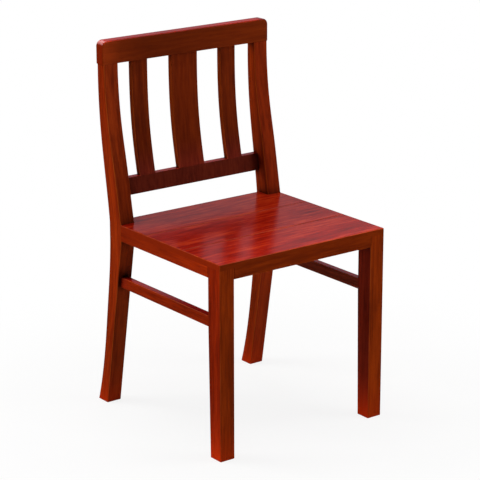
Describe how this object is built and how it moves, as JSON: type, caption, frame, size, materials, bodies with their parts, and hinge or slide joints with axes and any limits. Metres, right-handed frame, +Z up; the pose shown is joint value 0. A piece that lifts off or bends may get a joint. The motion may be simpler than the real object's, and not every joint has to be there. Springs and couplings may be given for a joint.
{
  "type": "classroom chair",
  "caption": "Wooden side chair with a flat board seat, straight front legs, curved rear legs, side stretchers and a slatted back under a crest rail, for sitting at a desk.",
  "frame": {"origin": "on the floor, under the middle of the chair's overall width and depth", "axes": "+Z up, -Y the way the sitter faces, +X to the right as seen from the front"},
  "size_m": [0.4634, 0.4833, 0.861],
  "materials": {
    "lacquered_wood": "red-brown stain under gloss lacquer",
    "bare_wood": "planed and bare",
    "screw_steel": "zinc plated"
  },
  "bodies": {
    "root": {"front_leg_left": "lacquered_wood", "front_leg_right": "lacquered_wood", "rear_leg_left": "lacquered_wood", "rear_leg_right": "lacquered_wood", "front_apron": "lacquered_wood", "rear_apron": "lacquered_wood", "side_apron_left": "lacquered_wood", "side_apron_right": "lacquered_wood", "side_stretcher_left": "lacquered_wood", "side_stretcher_right": "lacquered_wood", "crest_rail": "lacquered_wood", "lower_back_rail": "lacquered_wood", "back_slat_left": "lacquered_wood", "back_slat_center": "lacquered_wood", "back_slat_right": "lacquered_wood", "seat_board_front": "lacquered_wood", "seat_board_middle": "lacquered_wood", "seat_board_rear": "lacquered_wood", "corner_block_front_left": "bare_wood", "corner_block_front_right": "bare_wood", "corner_block_rear_left": "bare_wood", "corner_block_rear_right": "bare_wood", "crest_dowels": "bare_wood", "corner_block_screws": "screw_steel", "seat_screws": "screw_steel"}
  },
  "joints": []
}
